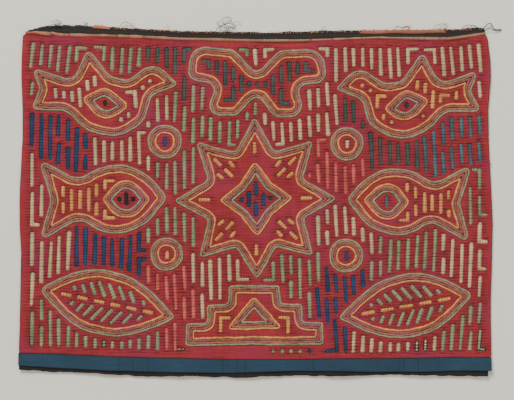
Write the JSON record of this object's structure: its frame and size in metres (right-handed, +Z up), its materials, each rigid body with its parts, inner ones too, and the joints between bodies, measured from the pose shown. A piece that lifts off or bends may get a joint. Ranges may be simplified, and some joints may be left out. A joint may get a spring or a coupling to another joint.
{
  "type": "mola panel",
  "caption": "Flat hand-sewn cotton panel: black backing, red ground with outlined applique motifs and slits, blue lower band and a rolled top edge.",
  "frame": {"origin": "under the centre of the panel's bounding box, on the surface that it lies on", "axes": "+X along the long side to the viewer's right, +Y towards the panel's top edge, +Z up out of its face"},
  "size_m": [0.4942, 0.3654, 0.0051],
  "materials": {
    "black_cotton": "matte plain weave",
    "red_cotton": "matte plain weave",
    "blue_cotton": "matte plain weave",
    "tan_cotton": "matte plain weave",
    "salmon_cotton": "matte, frayed",
    "band_cotton": "matte, turned edges"
  },
  "bodies": {
    "root": {"backing_cloth": "black_cotton", "ground_cloth": "red_cotton", "hem_band": "blue_cotton", "top_piping": "tan_cotton", "yoke_scrap_left": "salmon_cotton", "yoke_scrap_right": "salmon_cotton", "star_band": "band_cotton", "star_window_band": "band_cotton", "fish_left_band": "band_cotton", "fish_left_window_band": "band_cotton", "fish_right_band": "band_cotton", "fish_right_window_band": "band_cotton", "bird_left_band": "band_cotton", "bird_left_window_band": "band_cotton", "bird_right_band": "band_cotton", "bird_right_window_band": "band_cotton", "leaf_left_band": "band_cotton", "leaf_right_band": "band_cotton", "ring_upper_left_band": "band_cotton", "ring_upper_right_band": "band_cotton", "ring_lower_left_band": "band_cotton", "ring_lower_right_band": "band_cotton", "butterfly_band": "band_cotton", "steps_band": "band_cotton", "steps_window_band": "band_cotton"}
  },
  "joints": []
}
